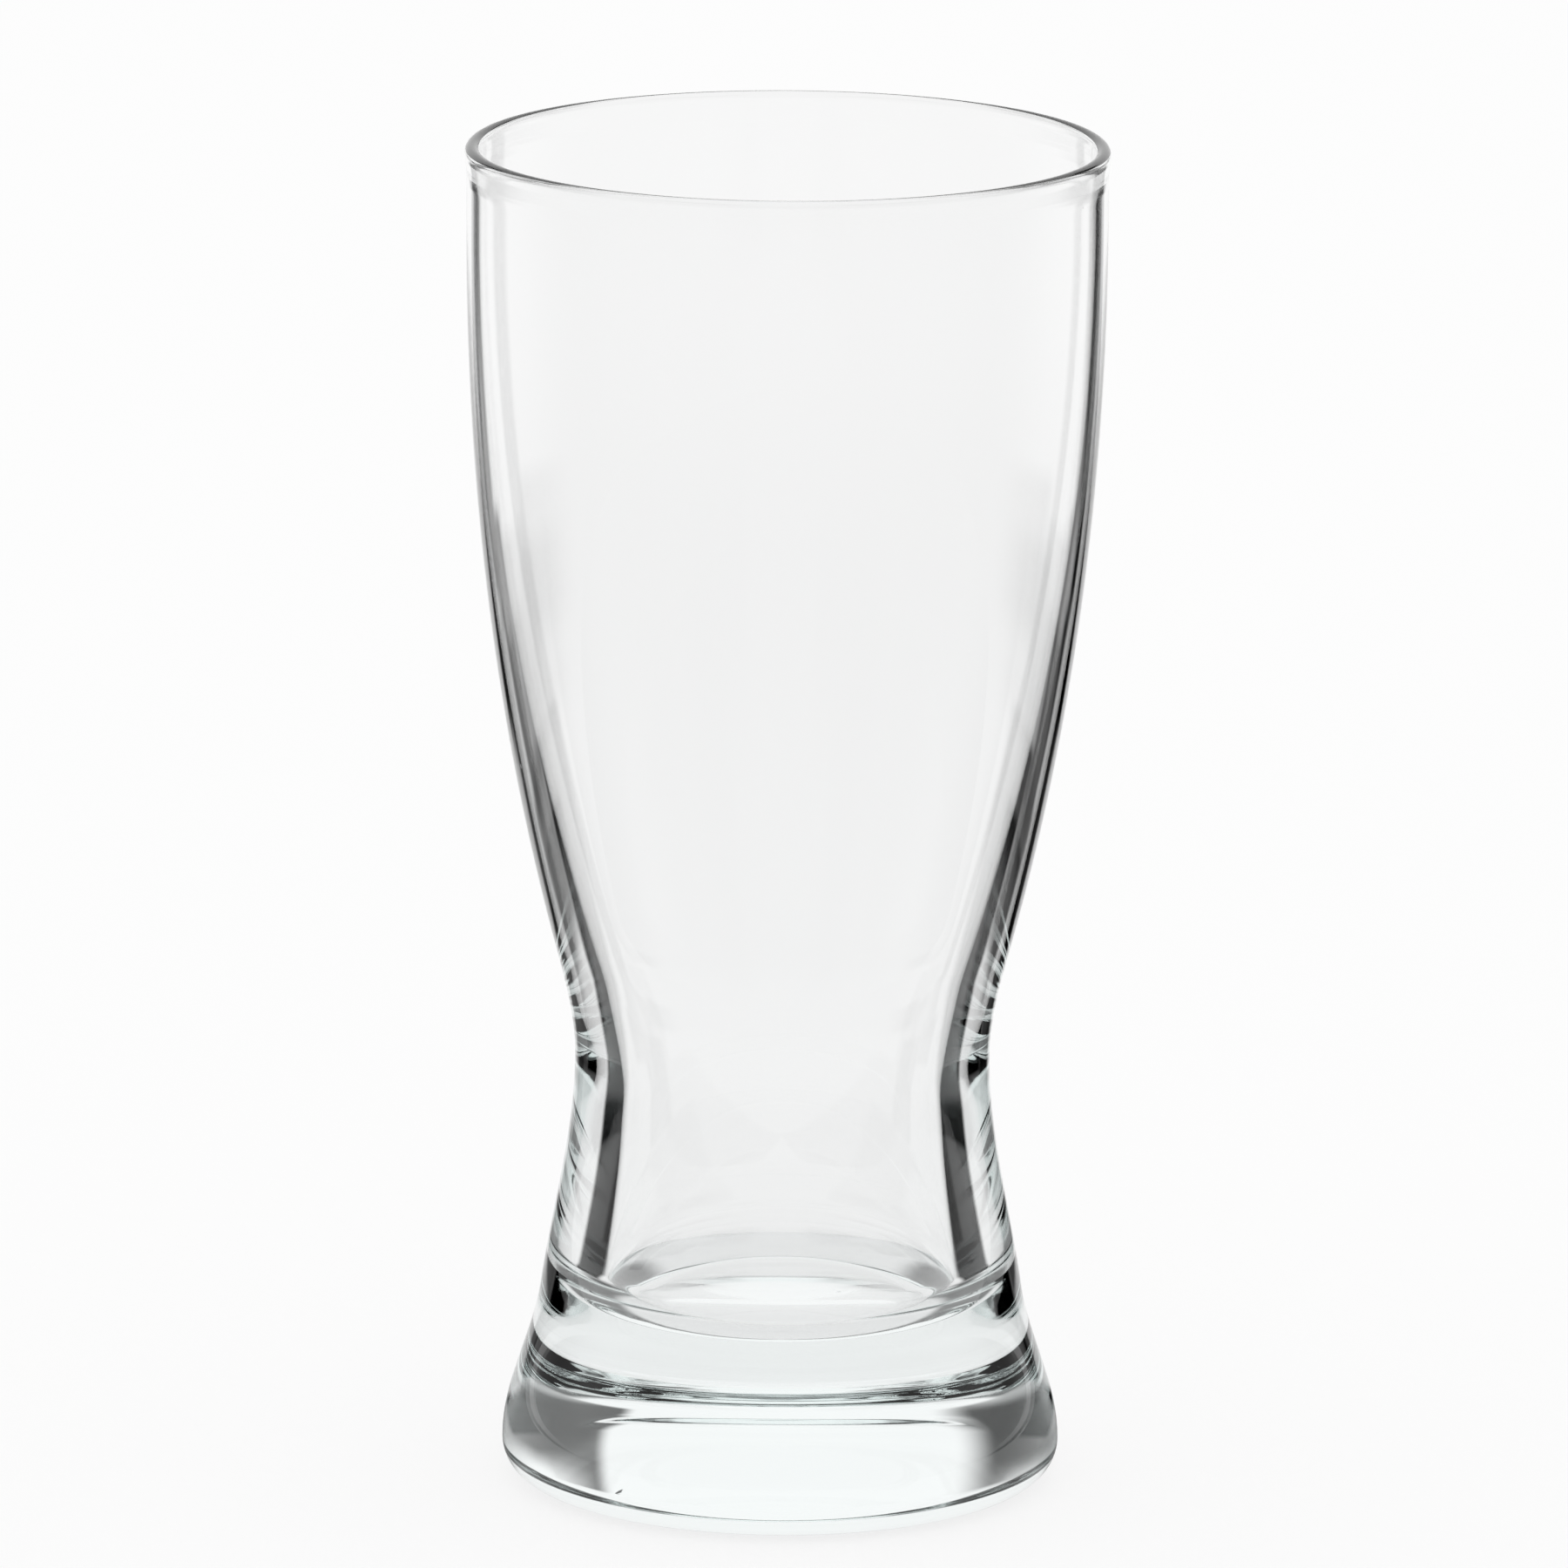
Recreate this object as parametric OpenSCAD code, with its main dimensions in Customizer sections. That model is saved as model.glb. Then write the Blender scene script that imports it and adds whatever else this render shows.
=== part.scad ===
// Hourglass pilsner glass, made in one piece from clear soda-lime glass.
// A wall section is drawn from the axis outwards and turned about the upright axis.
// Lengths are millimetres. The glass stands on z = 0 with its axis on z.

/* [Mouth] */
// Height from the table to the top of the rim
glass_h = 149.2; // [120:0.1:180]
// Outside diameter of the wall just under the rim bead
mouth_d = 69.9; // [58:0.1:84]
// Wall thickness just under the rim bead
rim_wall = 1.35; // [1.1:0.05:2]
// Radius of the rounded lip
lip_r = 0.8; // [0.65:0.05:1]
// How far the fire-polished bead stands out from the wall
bead_proud = 0.2; // [0.1:0.05:0.4]
// How far below the top the bead runs out into the wall
bead_drop = 3.6; // [2.5:0.1:6]
// Height of the upright band of wall under the bead
upright_h = 5.8; // [3:0.1:12]

/* [Flare] */
// How far above the waist the wall leans out the most
flare_rise = 11.5; // [9:0.1:15]
// Outside diameter where the wall leans out the most
flare_d = 49.6; // [47:0.1:56]
// Lean of the outside there, in degrees from upright
flare_lean = 15.1; // [12:0.1:18]
// Lean of the inside there, in degrees from upright
flare_inner_lean = 18; // [15:0.1:21]
// Wall thickness there, measured level
flare_wall = 3.9; // [3.2:0.05:4.6]

/* [Waist] */
// Height of the narrowest point
waist_h = 47.5; // [40:0.1:56]
// Outside diameter at the waist
waist_d = 45.7; // [40:0.1:52]
// How much smaller the radius of the inside gets than that of the waist
waist_wall = 4.9; // [4:0.05:5.8]
// How far below the waist the inside is narrowest
inner_drop = 5; // [2:0.1:8]

/* [Foot] */
// Largest outside diameter, just above the table
foot_d = 61.6; // [56:0.1:70]
// Radius of the edge between the side of the foot and the table
foot_edge_r = 4; // [2.5:0.1:5]
// Height at which the side of the foot has become the lower wall
ankle_h = 21; // [17:0.1:25]
// Outside diameter there
ankle_d = 53.3; // [48:0.1:58]
// Lean of the wall there, in degrees from upright
ankle_lean = 8.3; // [6:0.1:11]
// Width of the ring that stands on the table
ring_w = 9.3; // [7:0.1:12]
// Height of the hollow under the foot at its middle
punt_h = 1.2; // [0.6:0.1:2.5]

/* [Chamber] */
// Thickness of the solid glass under the drink, at its middle
floor_h = 18; // [13:0.1:22]
// How much lower the floor lies at its middle than at its edge
floor_dish = 1; // [0.4:0.1:2]
// Radius of the inside corner between the floor and the wall
chamber_corner_r = 5; // [3:0.1:7]
// Wall thickness where that corner starts
chamber_wall = 6.6; // [5.5:0.05:7.5]
// Lean of the inside there, in degrees from upright
chamber_lean = 7; // [4:0.1:10]

/* [Hidden] */
// Straight steps in each span between two stations, in each arc, dish or dome, and in the lip
span_steps = 16;
arc_steps = 10;
lip_steps = 20;
// Fineness of the turning about the axis
$fn = 256;

mouth_radius = mouth_d / 2;
bead_radius = mouth_radius + bead_proud;
bead_foot_h = glass_h - bead_drop;
upright_foot_h = bead_foot_h - upright_h;
lip_h = glass_h - lip_r;
flare_radius = flare_d / 2;
flare_h = waist_h + flare_rise;
waist_radius = waist_d / 2;
foot_radius = foot_d / 2;
punt_radius = foot_radius - foot_edge_r - ring_w;
corner_h = floor_h + floor_dish + chamber_corner_r;
chamber_h = corner_h + chamber_corner_r * sin(chamber_lean);

// Smooth share that leaves 0 and reaches 1 on the level
function ease(t) = t * t * (3 - 2 * t);

// A station of the wall is [height, radius, lean]. This is the radius at share t of the way
// from station a to station b, on the cubic that has the lean of both.
function radius_between(a, b, t) =
    a[1] * (1 - ease(t)) + b[1] * ease(t)
    + (b[0] - a[0]) * t * (1 - t) * ((1 - t) * tan(a[2]) - t * tan(b[2]));

// Radius at height z on the span from station a to station b
function radius_at(a, b, z) = radius_between(a, b, (z - a[0]) / (b[0] - a[0]));

ankle = [ankle_h, ankle_d / 2, -ankle_lean];
waist = [waist_h, waist_radius, 0];
outer_stations = [
    [foot_edge_r, foot_radius, 0],
    ankle,
    waist,
    [flare_h, flare_radius, flare_lean],
    [upright_foot_h, mouth_radius, 0],
    [bead_foot_h, mouth_radius, 0],
    [lip_h, bead_radius, 0],
];

chamber_radius = radius_at(ankle, waist, chamber_h) - chamber_wall;
floor_radius = chamber_radius - chamber_corner_r * cos(chamber_lean);
inner_stations = [
    [lip_h, bead_radius - 2 * lip_r, 0],
    [bead_foot_h, mouth_radius - rim_wall, 0],
    [upright_foot_h, mouth_radius - rim_wall, 0],
    [flare_h, flare_radius - flare_wall, flare_inner_lean],
    [waist_h - inner_drop, waist_radius - waist_wall, 0],
    [chamber_h, chamber_radius, -chamber_lean],
];

// Points of the wall from station a towards station b, without the last one
function span_points(a, b) =
    [for (i = [0:span_steps - 1]) let (t = i / span_steps)
        [radius_between(a, b, t), a[0] + (b[0] - a[0]) * t]];

// Points of the wall through a list of stations, without the last one
function wall_points(stations) =
    [for (i = [1:len(stations) - 1]) each span_points(stations[i - 1], stations[i])];

// Points of an arc that sweeps from one angle to another, without the last one
function arc_points(centre, r, from, to, steps) =
    [for (i = [0:steps - 1]) let (angle = from + (to - from) * i / steps)
        centre + r * [cos(angle), sin(angle)]];

// Points of a shallow dish from the axis out to a radius, between its middle and its edge height
function dish_points(r, middle_h, edge_h) =
    [for (i = [0:arc_steps]) let (t = i / arc_steps) [r * t, middle_h + (edge_h - middle_h) * ease(t)]];

// Points of a low dome from its top on the axis out to its edge on the table
function dome_points(r, top_h) =
    [for (i = [0:arc_steps]) let (t = i / arc_steps) [r * t, top_h * (1 - t * t)]];

function reversed(points) = [for (i = [len(points) - 1:-1:0]) points[i]];

// The closed wall section: underside, outside, lip, inside and floor
section = concat(
    dome_points(punt_radius, punt_h),
    arc_points([foot_radius - foot_edge_r, foot_edge_r], foot_edge_r, -90, 0, arc_steps),
    wall_points(outer_stations),
    arc_points([bead_radius - lip_r, lip_h], lip_r, 0, 180, lip_steps),
    wall_points(inner_stations),
    arc_points([floor_radius, corner_h], chamber_corner_r, chamber_lean, -90, arc_steps),
    reversed(dish_points(floor_radius, floor_h, floor_h + floor_dish))
);

module glass() {
    color([0.84, 0.91, 0.9, 0.45])
        rotate_extrude()
            polygon(section);
}

glass();
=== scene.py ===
import math

import bmesh
import bpy
from mathutils import Euler, Matrix


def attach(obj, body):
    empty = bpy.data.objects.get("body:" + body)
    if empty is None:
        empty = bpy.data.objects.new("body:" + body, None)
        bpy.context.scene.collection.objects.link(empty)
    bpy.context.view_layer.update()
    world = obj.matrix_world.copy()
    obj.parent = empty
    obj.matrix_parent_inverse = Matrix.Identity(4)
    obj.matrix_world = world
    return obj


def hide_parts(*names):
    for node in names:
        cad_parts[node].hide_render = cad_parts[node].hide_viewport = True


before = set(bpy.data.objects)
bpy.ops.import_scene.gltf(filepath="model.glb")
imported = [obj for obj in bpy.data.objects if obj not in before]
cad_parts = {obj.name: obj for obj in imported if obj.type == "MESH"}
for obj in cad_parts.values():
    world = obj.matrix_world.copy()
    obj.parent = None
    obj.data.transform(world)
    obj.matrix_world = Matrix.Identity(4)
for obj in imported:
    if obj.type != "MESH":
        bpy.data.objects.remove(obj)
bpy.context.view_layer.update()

mm = 0.001


# Camera, as in the photograph

photoCamera = {
    "distance": 1.5,         # level distance from the glass's axis
    "height": 0.4157,        # above the table
    "pitchDown": 12.69,      # degrees below level
    "roll": 0.36,            # degrees, the photograph leans a little
    "lens": 321.4,           # millimetres on the sensor below
    "sensor": 36.0,
}


def addCamera(spec):
    data = bpy.data.cameras.new("photoCamera")
    data.sensor_width = spec["sensor"]
    data.lens = spec["lens"]
    camera = bpy.data.objects.new("photoCamera", data)
    bpy.context.scene.collection.objects.link(camera)
    look = Euler((math.radians(90 - spec["pitchDown"]), 0, 0)).to_matrix()
    turn = Matrix.Rotation(math.radians(spec["roll"]), 3, "Z")
    place = Matrix.Translation((0, -spec["distance"], spec["height"]))
    camera.matrix_world = place @ (look @ turn).to_4x4()
    bpy.context.scene.camera = camera


addCamera(photoCamera)
print("camera set")


# Node helpers

def newMaterial(name):
    material = bpy.data.materials.new(name)
    material.use_nodes = True
    material.node_tree.nodes.clear()
    return material, material.node_tree


def addNode(tree, kind, **settings):
    node = tree.nodes.new(kind)
    for key, value in settings.items():
        setattr(node, key, value)
    return node


def link(tree, fromSocket, toSocket):
    tree.links.new(fromSocket, toSocket)


def maths(tree, operation, first, second=None, third=None):
    node = addNode(tree, "ShaderNodeMath", operation=operation)
    for socket, value in zip(node.inputs, (first, second, third)):
        if isinstance(value, (int, float)):
            socket.default_value = value
        elif value is not None:
            link(tree, value, socket)
    return node.outputs[0]


def softStep(tree, value, edge, width, fromShare, toShare):
    node = addNode(tree, "ShaderNodeMapRange", interpolation_type="SMOOTHSTEP")
    link(tree, value, node.inputs["Value"])
    node.inputs["From Min"].default_value = edge - width / 2
    node.inputs["From Max"].default_value = edge + width / 2
    node.inputs["To Min"].default_value = fromShare
    node.inputs["To Max"].default_value = toShare
    return node.outputs[0]


# Glass

glassSpec = {
    "tint": (1.0, 1.0, 1.0, 1.0),
    "ior": 1.52,
    "absorbColor": (0.5, 0.78, 0.75, 1.0),
    "absorbDensity": 2.0,    # per metre of glass
    "waveScale": 70.0,       # faint waves of moulded glass, per metre
    "waveDetail": 1.0,
    "waveDepth": 0.0000015,
    "seedScale": 150.0,      # cells per metre, some of which hold a seed
    "seedRadius": 0.03,      # share of a cell
    "seedRarity": 0.95,
    "seedDepth": 0.00003,
    "scuffRoughness": 0.05,  # where the foot rubs the table
    "scuffHeight": 0.0003,
    "grainScale": 900.0,     # of the scuffs, per metre
}


def clearGlass(spec):
    material, tree = newMaterial("clearGlass")
    out = addNode(tree, "ShaderNodeOutputMaterial")
    glass = addNode(tree, "ShaderNodeBsdfPrincipled")
    glass.inputs["Base Color"].default_value = spec["tint"]
    glass.inputs["IOR"].default_value = spec["ior"]
    glass.inputs["Transmission Weight"].default_value = 1.0
    place = addNode(tree, "ShaderNodeTexCoord")
    parts = addNode(tree, "ShaderNodeSeparateXYZ")
    link(tree, place.outputs["Object"], parts.inputs[0])
    scuff = softStep(tree, parts.outputs[2], spec["scuffHeight"], spec["scuffHeight"], 1, 0)
    grain = addNode(tree, "ShaderNodeTexNoise")
    grain.inputs["Scale"].default_value = spec["grainScale"]
    link(tree, place.outputs["Object"], grain.inputs["Vector"])
    worn = maths(tree, "MULTIPLY", scuff, maths(tree, "MULTIPLY", grain.outputs[0], spec["scuffRoughness"]))
    link(tree, worn, glass.inputs["Roughness"])

    wave = addNode(tree, "ShaderNodeTexNoise")
    wave.inputs["Scale"].default_value = spec["waveScale"]
    wave.inputs["Detail"].default_value = spec["waveDetail"]
    link(tree, place.outputs["Object"], wave.inputs["Vector"])
    cell = addNode(tree, "ShaderNodeTexVoronoi")
    cell.inputs["Scale"].default_value = spec["seedScale"]
    link(tree, place.outputs["Object"], cell.inputs["Vector"])
    pick = addNode(tree, "ShaderNodeSeparateColor")
    link(tree, cell.outputs["Color"], pick.inputs[0])
    chosen = maths(tree, "GREATER_THAN", pick.outputs[0], spec["seedRarity"])
    seed = softStep(tree, cell.outputs["Distance"], spec["seedRadius"], spec["seedRadius"], 1, 0)
    depth = maths(tree, "MULTIPLY", maths(tree, "MULTIPLY", seed, chosen), -spec["seedDepth"])
    height = maths(tree, "MULTIPLY_ADD", wave.outputs[0], spec["waveDepth"], depth)
    bump = addNode(tree, "ShaderNodeBump")
    bump.inputs["Distance"].default_value = 1.0
    link(tree, height, bump.inputs["Height"])
    link(tree, bump.outputs["Normal"], glass.inputs["Normal"])

    absorb = addNode(tree, "ShaderNodeVolumeAbsorption")
    absorb.inputs["Color"].default_value = spec["absorbColor"]
    absorb.inputs["Density"].default_value = spec["absorbDensity"]
    link(tree, glass.outputs["BSDF"], out.inputs["Surface"])
    link(tree, absorb.outputs["Volume"], out.inputs["Volume"])
    return material


profileSpec = {              # millimetres and degrees
    "height": 149.2,
    "mouthD": 69.9,
    "rimWall": 1.35,
    "lipR": 0.8,
    "beadProud": 0.2,
    "beadDrop": 3.6,
    "uprightH": 5.8,
    "flareRise": 11.5,
    "flareD": 49.6,
    "flareLean": 15.1,
    "flareInnerLean": 18.0,
    "flareWall": 3.9,
    "waistH": 47.5,
    "waistD": 45.7,
    "waistWall": 4.9,
    "innerDrop": 5.0,        # the inside is narrowest below the waist
    "footD": 61.6,
    "footEdgeR": 4.0,
    "ankleH": 21.0,
    "ankleD": 53.3,
    "ankleLean": 8.3,
    "ringW": 9.3,
    "puntH": 1.2,
    "floorH": 18.0,
    "floorDish": 1.0,
    "chamberCornerR": 5.0,
    "chamberWall": 6.6,
    "chamberLean": 7.0,
    "turnSteps": 240,        # round the axis
    "wallStep": 1.0,         # along the wall
    "wallCount": 4,          # least steps from one station to the next
    "cornerStep": 0.2,       # round the lip and the small edges
    "cornerCount": 6,        # least steps in each of them
}


def ease(t):
    return t * t * (3 - 2 * t)


def radiusBetween(a, b, t):
    rise = b[0] - a[0]
    leanA = math.tan(math.radians(a[2]))
    leanB = math.tan(math.radians(b[2]))
    return a[1] * (1 - ease(t)) + b[1] * ease(t) + rise * t * (1 - t) * ((1 - t) * leanA - t * leanB)


def wallPoints(stations, step, least):
    points = []
    for a, b in zip(stations[:-1], stations[1:]):
        rise = b[0] - a[0]
        count = max(least, math.ceil(abs(rise) / step))
        points += [(radiusBetween(a, b, i / count), a[0] + rise * i / count) for i in range(count)]
    return points


def arcPoints(centre, radius, start, sweep, step, least):
    count = max(least, math.ceil(radius * math.radians(abs(sweep)) / step))
    angles = [math.radians(start + sweep * i / count) for i in range(count)]
    return [(centre[0] + radius * math.cos(a), centre[1] + radius * math.sin(a)) for a in angles]


def dishPoints(radius, middleH, edgeH, step):
    count = math.ceil(radius / step)
    return [(radius * i / count, middleH + (edgeH - middleH) * ease(i / count)) for i in range(count + 1)]


def domePoints(radius, topH, step):
    count = math.ceil(radius / step)
    return [(radius * i / count, topH * (1 - (i / count) ** 2)) for i in range(count + 1)]


def glassSection(s):
    mouthR = s["mouthD"] / 2
    beadR = mouthR + s["beadProud"]
    footR = s["footD"] / 2
    beadFootH = s["height"] - s["beadDrop"]
    uprightFootH = beadFootH - s["uprightH"]
    lipH = s["height"] - s["lipR"]
    flareH = s["waistH"] + s["flareRise"]
    puntR = footR - s["footEdgeR"] - s["ringW"]
    cornerH = s["floorH"] + s["floorDish"] + s["chamberCornerR"]
    turnedIn = math.radians(s["chamberLean"])
    chamberH = cornerH + s["chamberCornerR"] * math.sin(turnedIn)
    ankle = (s["ankleH"], s["ankleD"] / 2, -s["ankleLean"])
    waist = (s["waistH"], s["waistD"] / 2, 0)
    outside = [
        (s["footEdgeR"], footR, 0), ankle, waist, (flareH, s["flareD"] / 2, s["flareLean"]),
        (uprightFootH, mouthR, 0), (beadFootH, mouthR, 0), (lipH, beadR, 0),
    ]
    along = (chamberH - ankle[0]) / (waist[0] - ankle[0])
    chamberR = radiusBetween(ankle, waist, along) - s["chamberWall"]
    floorR = chamberR - s["chamberCornerR"] * math.cos(turnedIn)
    inside = [
        (lipH, beadR - 2 * s["lipR"], 0), (beadFootH, mouthR - s["rimWall"], 0),
        (uprightFootH, mouthR - s["rimWall"], 0),
        (flareH, s["flareD"] / 2 - s["flareWall"], s["flareInnerLean"]),
        (s["waistH"] - s["innerDrop"], s["waistD"] / 2 - s["waistWall"], 0),
        (chamberH, chamberR, -s["chamberLean"]),
    ]
    step, wall, corner = s["wallStep"], (s["wallStep"], s["wallCount"]), (s["cornerStep"], s["cornerCount"])
    points = domePoints(puntR, s["puntH"], step)
    flats = math.ceil(s["ringW"] / step)
    points += [(puntR + s["ringW"] * i / flats, 0) for i in range(1, flats)]
    points += arcPoints((footR - s["footEdgeR"], s["footEdgeR"]), s["footEdgeR"], -90, 90, *corner)
    points += wallPoints(outside, *wall)
    points += arcPoints((beadR - s["lipR"], lipH), s["lipR"], 0, 180, *corner)
    points += wallPoints(inside, *wall)
    lean = s["chamberLean"]
    points += arcPoints((floorR, cornerH), s["chamberCornerR"], lean, -90 - lean, *corner)
    points += reversed(dishPoints(floorR, s["floorH"], s["floorH"] + s["floorDish"], step))
    return points


def turnedMesh(name, section, turns):
    mesh = bmesh.new()
    bottom = mesh.verts.new((0, 0, section[0][1] * mm))
    rings = []
    for radius, height in section[1:-1]:
        ring = []
        for k in range(turns):
            angle = 2 * math.pi * k / turns
            x, y = radius * math.cos(angle), radius * math.sin(angle)
            ring.append(mesh.verts.new((x * mm, y * mm, height * mm)))
        rings.append(ring)
    top = mesh.verts.new((0, 0, section[-1][1] * mm))
    for k in range(turns):
        after = (k + 1) % turns
        mesh.faces.new((bottom, rings[0][after], rings[0][k]))
        for low, high in zip(rings[:-1], rings[1:]):
            mesh.faces.new((low[k], low[after], high[after], high[k]))
        mesh.faces.new((rings[-1][k], rings[-1][after], top))
    for face in mesh.faces:
        face.smooth = True
    data = bpy.data.meshes.new(name)
    mesh.to_mesh(data)
    mesh.free()
    piece = bpy.data.objects.new(name, data)
    bpy.context.scene.collection.objects.link(piece)
    return piece


glass = turnedMesh("pilsnerGlass", glassSection(profileSpec), profileSpec["turnSteps"])
glass.data.materials.append(clearGlass(glassSpec))
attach(glass, "root")
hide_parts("glass")
print("glass made:", len(glass.data.polygons), "faces")


# Studio: pale floor and background; the floor's and the world's tone is painted darker in bands at the
# sides, seen only in what the glass mirrors inside itself: painted dark reflections that give the glass its
# dark edges

studioSpec = {
    "floorSize": 8.0,
    "floorGap": 0.0001,      # below the foot
    "paper": 0.9,
    "shadowShare": 0.2,      # how much of the floor's tone comes from light and shadow
    "floorTone": 0.93,       # painted shade: darker only as the glass shows it, near and far; the camera sees the floor white
    "farTone": 0.98,
    "farReach": 0.45,
    "farSoft": 0.5,
    "skyColor": (1.0, 1.0, 1.0, 1.0),
    # painted shade: the world a little darker only as the glass shows it
    "skyTone": 0.97,
    "worldStrength": 1.0,
    "oneMirror": 0.5,        # glossy depth above this has been mirrored at least once
}

# "turn" is degrees round from +Y, positive to the left, "reach" is metres from the axis and
# "rise" is degrees above level; "turnSoft" and "soft" are the widths of the edges
# painted shade: dark bands on the floor, seen only in rays the glass has mirrored
paintedFloorShades = [
    {"turn": (46, 70), "turnSoft": (5, 6), "reach": (0.05, 0.2), "soft": 0.01, "grey": 0.0},
    {"turn": (-70, -42), "turnSoft": (6, 5), "reach": (0.05, 0.2), "soft": 0.01, "grey": 0.0},
    {"turn": (36, 95), "turnSoft": (12, 12), "reach": (-1, 0.05), "soft": 0.02, "grey": 0.3},
    {"turn": (-95, -36), "turnSoft": (12, 12), "reach": (-1, 0.05), "soft": 0.02, "grey": 0.3},
    {"turn": (29, 41), "turnSoft": (5, 5), "reach": (0.18, 0.36), "soft": 0.03, "grey": 0.15},
    {"turn": (-43, -26), "turnSoft": (5, 5), "reach": (0.17, 0.36), "soft": 0.03, "grey": 0.04},
    {"turn": (41, 62), "turnSoft": (5, 5), "reach": (0.19, 0.33), "soft": 0.03, "grey": 0.4},
    {"turn": (-62, -42), "turnSoft": (5, 5), "reach": (0.19, 0.33), "soft": 0.03, "grey": 0.4},
    {"turn": (24, 46), "turnSoft": (6, 4), "reach": (0.13, 0.2), "soft": 0.02, "grey": 0.25},
    {"turn": (-42, -22), "turnSoft": (4, 6), "reach": (0.13, 0.2), "soft": 0.02, "grey": 0.15},
    {"turn": (24.5, 34), "turnSoft": (4, 5), "reach": (0.3, 0.95), "soft": 0.05, "grey": 0.05},
    {"turn": (-40, -24), "turnSoft": (5, 4), "reach": (0.3, 0.95), "soft": 0.05, "grey": 0.02},
    {"turn": (62, 88), "turnSoft": (8, 20), "reach": (0.24, 0.37), "soft": 0.04, "grey": 0.0},
    {"turn": (-88, -62), "turnSoft": (20, 8), "reach": (0.24, 0.37), "soft": 0.04, "grey": 0.0},
    {"turn": (19, 48), "turnSoft": (6, 30), "reach": (0.95, 9), "soft": 0.1, "grey": 0.1},
    {"turn": (-50, -19), "turnSoft": (30, 6), "reach": (0.95, 9), "soft": 0.1, "grey": 0.1},
    {"turn": (75, 285), "turnSoft": (50, 50), "reach": (0.2, 9), "soft": 0.3, "grey": 0.65},
]
# painted shade: dark bands in the world, seen only in rays the glass has mirrored
paintedSkyShades = [
    {"turn": (32, 85), "turnSoft": (12, 30), "rise": (13, 28), "soft": 5, "grey": 0.04},
    {"turn": (-85, -27), "turnSoft": (30, 4), "rise": (14.5, 28), "soft": 3, "grey": 0.12},
    {"turn": (50, 85), "turnSoft": (8, 30), "rise": (29, 50), "soft": 6, "grey": 0.1},
    {"turn": (-80, -45), "turnSoft": (30, 10), "rise": (29, 50), "soft": 6, "grey": 0.1},
    {"turn": (108, 158), "turnSoft": (20, 20), "rise": (40, 54), "soft": 10, "grey": 0.05},
    {"turn": (-158, -108), "turnSoft": (20, 20), "rise": (40, 54), "soft": 10, "grey": 0.05},
    {"turn": (38, 80), "turnSoft": (34, 40), "rise": (-20, 9), "soft": 6, "grey": 0.3},
    {"turn": (-80, -42), "turnSoft": (40, 34), "rise": (-20, 9), "soft": 6, "grey": 0.3},
    {"turn": (95, 265), "turnSoft": (60, 60), "rise": (-40, 30), "soft": 40, "grey": 0.6},
]


# darkens the tone in each band of painted shade
def shadedTone(tree, tone, turn, along, shades, key):
    for shade in shades:
        middle, half = sum(shade["turn"]) / 2, (shade["turn"][1] - shade["turn"][0]) / 2
        off = maths(tree, "WRAP", maths(tree, "SUBTRACT", turn, middle), 180, -180)
        share = softStep(tree, off, -half, shade["turnSoft"][0], 0, 1)
        for value, edge, width, fromShare, toShare in (
            (off, half, shade["turnSoft"][1], 1, 0),
            (along, shade[key][0], shade["soft"], 0, 1),
            (along, shade[key][1], shade["soft"], 1, 0),
        ):
            share = maths(tree, "MULTIPLY", share, softStep(tree, value, edge, width, fromShare, toShare))
        tone = maths(tree, "MULTIPLY", tone, maths(tree, "MULTIPLY_ADD", share, shade["grey"] - 1, 1))
    return tone


def turnAndParts(tree, output):
    place = addNode(tree, "ShaderNodeTexCoord")
    parts = addNode(tree, "ShaderNodeSeparateXYZ")
    link(tree, place.outputs[output], parts.inputs[0])
    x, y, z = parts.outputs
    turn = maths(tree, "DEGREES", maths(tree, "ARCTAN2", maths(tree, "MULTIPLY", x, -1), y))
    level = maths(tree, "SQRT", maths(tree, "MULTIPLY_ADD", x, x, maths(tree, "MULTIPLY", y, y)))
    return turn, level, z


def raysInGlass(tree, oneMirror):
    path = addNode(tree, "ShaderNodeLightPath")
    inGlass = maths(tree, "MAXIMUM", path.outputs["Is Glossy Ray"], path.outputs["Is Transmission Ray"])
    deep = maths(tree, "GREATER_THAN", path.outputs["Glossy Depth"], oneMirror)
    mirrored = maths(tree, "MULTIPLY", inGlass, deep)
    return path.outputs["Is Camera Ray"], inGlass, mirrored


def mixShaders(tree, share, first, second):
    mix = addNode(tree, "ShaderNodeMixShader")
    link(tree, share, mix.inputs["Fac"])
    link(tree, first, mix.inputs[1])
    link(tree, second, mix.inputs[2])
    return mix.outputs[0]


def paperShader(tree, spec, tone, seen):
    paper = addNode(tree, "ShaderNodeBsdfDiffuse")
    colour = addNode(tree, "ShaderNodeCombineColor")
    reflects = maths(tree, "MULTIPLY", tone, spec["paper"])
    for socket in colour.inputs:
        link(tree, reflects, socket)
    link(tree, colour.outputs[0], paper.inputs["Color"])
    white = addNode(tree, "ShaderNodeEmission")
    link(tree, tone, white.inputs["Strength"])
    share = maths(tree, "MULTIPLY", seen, 1 - spec["shadowShare"])
    return mixShaders(tree, share, paper.outputs[0], white.outputs[0])


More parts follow.
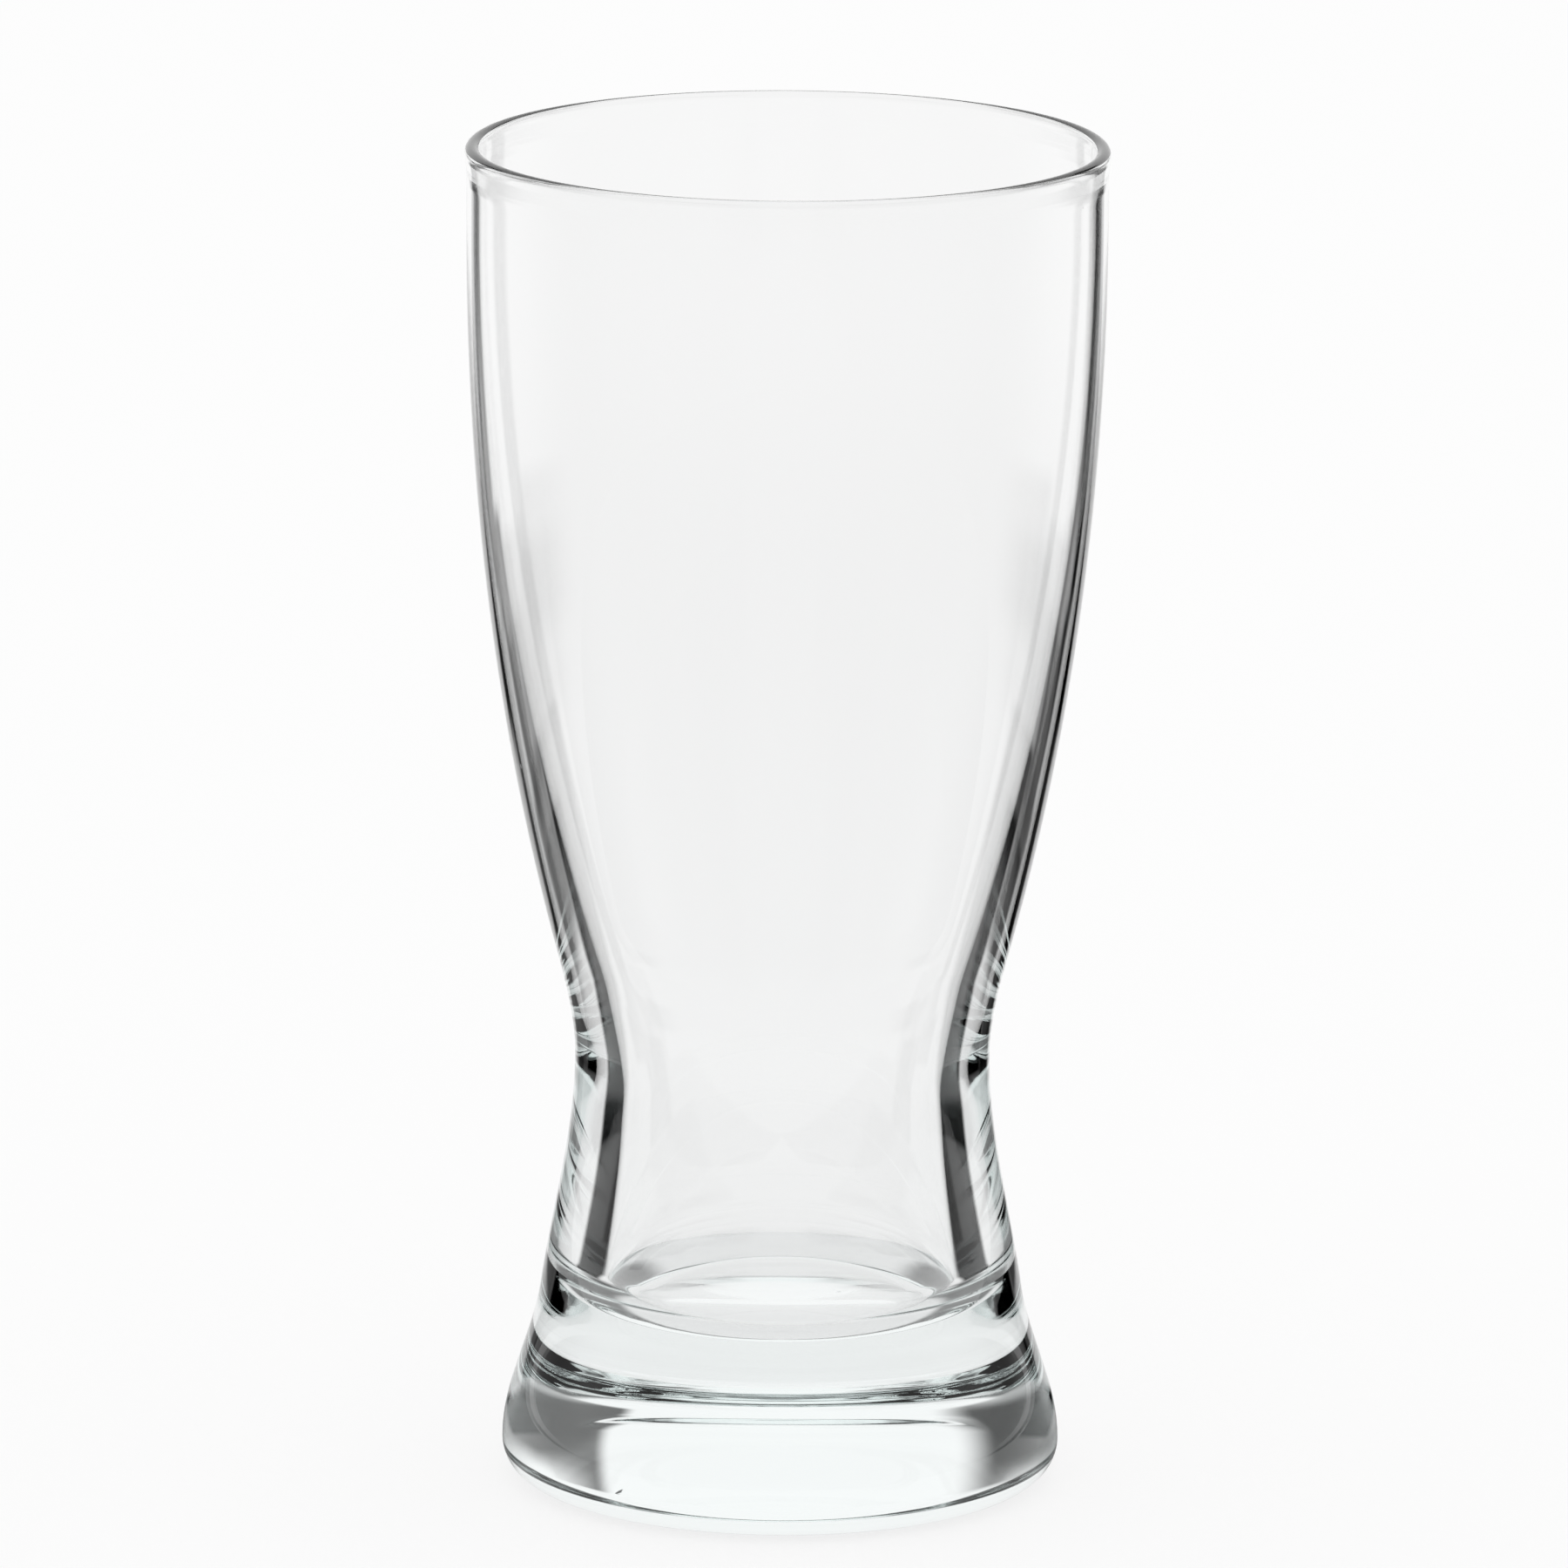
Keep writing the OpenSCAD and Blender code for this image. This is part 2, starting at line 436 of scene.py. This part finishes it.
def paleFloor(spec):
    material, tree = newMaterial("paleFloor")
    out = addNode(tree, "ShaderNodeOutputMaterial")
    cameraRay, inGlass, mirrored = raysInGlass(tree, spec["oneMirror"])
    seen = maths(tree, "MAXIMUM", cameraRay, inGlass)
    turn, level, _ = turnAndParts(tree, "Object")
    tone = softStep(tree, level, spec["farReach"], spec["farSoft"], spec["floorTone"], spec["farTone"])
    # painted shade: the floor darker only for rays that pass through the glass
    plainTone = maths(tree, "MULTIPLY_ADD", inGlass, maths(tree, "SUBTRACT", tone, 1), 1)
    plain = paperShader(tree, spec, plainTone, seen)
    # painted shade: the floor's tone darkened in bands for rays the glass has mirrored
    shaded = paperShader(tree, spec, shadedTone(tree, tone, turn, level, paintedFloorShades, "reach"), seen)
    link(tree, mixShaders(tree, mirrored, plain, shaded), out.inputs["Surface"])
    return material


def addFloor(spec):
    half, low = spec["floorSize"] / 2, -spec["floorGap"]
    corners = [(-half, -half, low), (half, -half, low), (half, half, low), (-half, half, low)]
    data = bpy.data.meshes.new("studioFloor")
    data.from_pydata(corners, [], [(0, 1, 2, 3)])
    floor = bpy.data.objects.new("studioFloor", data)
    bpy.context.scene.collection.objects.link(floor)
    data.materials.append(paleFloor(spec))


def skyShader(tree, tone, spec):
    light = addNode(tree, "ShaderNodeBackground")
    light.inputs["Color"].default_value = spec["skyColor"]
    link(tree, maths(tree, "MULTIPLY", tone, spec["worldStrength"]), light.inputs["Strength"])
    return light.outputs[0]


def addWorld(spec):
    world = bpy.data.worlds.new("studioWorld")
    world.use_nodes = True
    tree = world.node_tree
    tree.nodes.clear()
    out = addNode(tree, "ShaderNodeOutputWorld")
    _, inGlass, mirrored = raysInGlass(tree, spec["oneMirror"])
    # painted shade: the world a little darker only for rays that pass through the glass
    plain = skyShader(tree, maths(tree, "MULTIPLY_ADD", inGlass, spec["skyTone"] - 1, 1), spec)
    turn, level, z = turnAndParts(tree, "Generated")
    rise = maths(tree, "DEGREES", maths(tree, "ARCTAN2", z, level))
    # painted shade: the world's tone darkened in bands for rays the glass has mirrored
    shaded = skyShader(tree, shadedTone(tree, 1, turn, rise, paintedSkyShades, "rise"), spec)
    link(tree, mixShaders(tree, mirrored, plain, shaded), out.inputs["Surface"])
    world.cycles.sampling_method = "NONE"
    bpy.context.scene.world = world


bounces = {"max": 20, "transmission": 20, "glossy": 16, "diffuse": 2}

addFloor(studioSpec)
addWorld(studioSpec)
bpy.context.scene.view_settings.view_transform = "Standard"
for kind, count in bounces.items():
    setattr(bpy.context.scene.cycles, kind + "_bounces", count)
print("studio set")
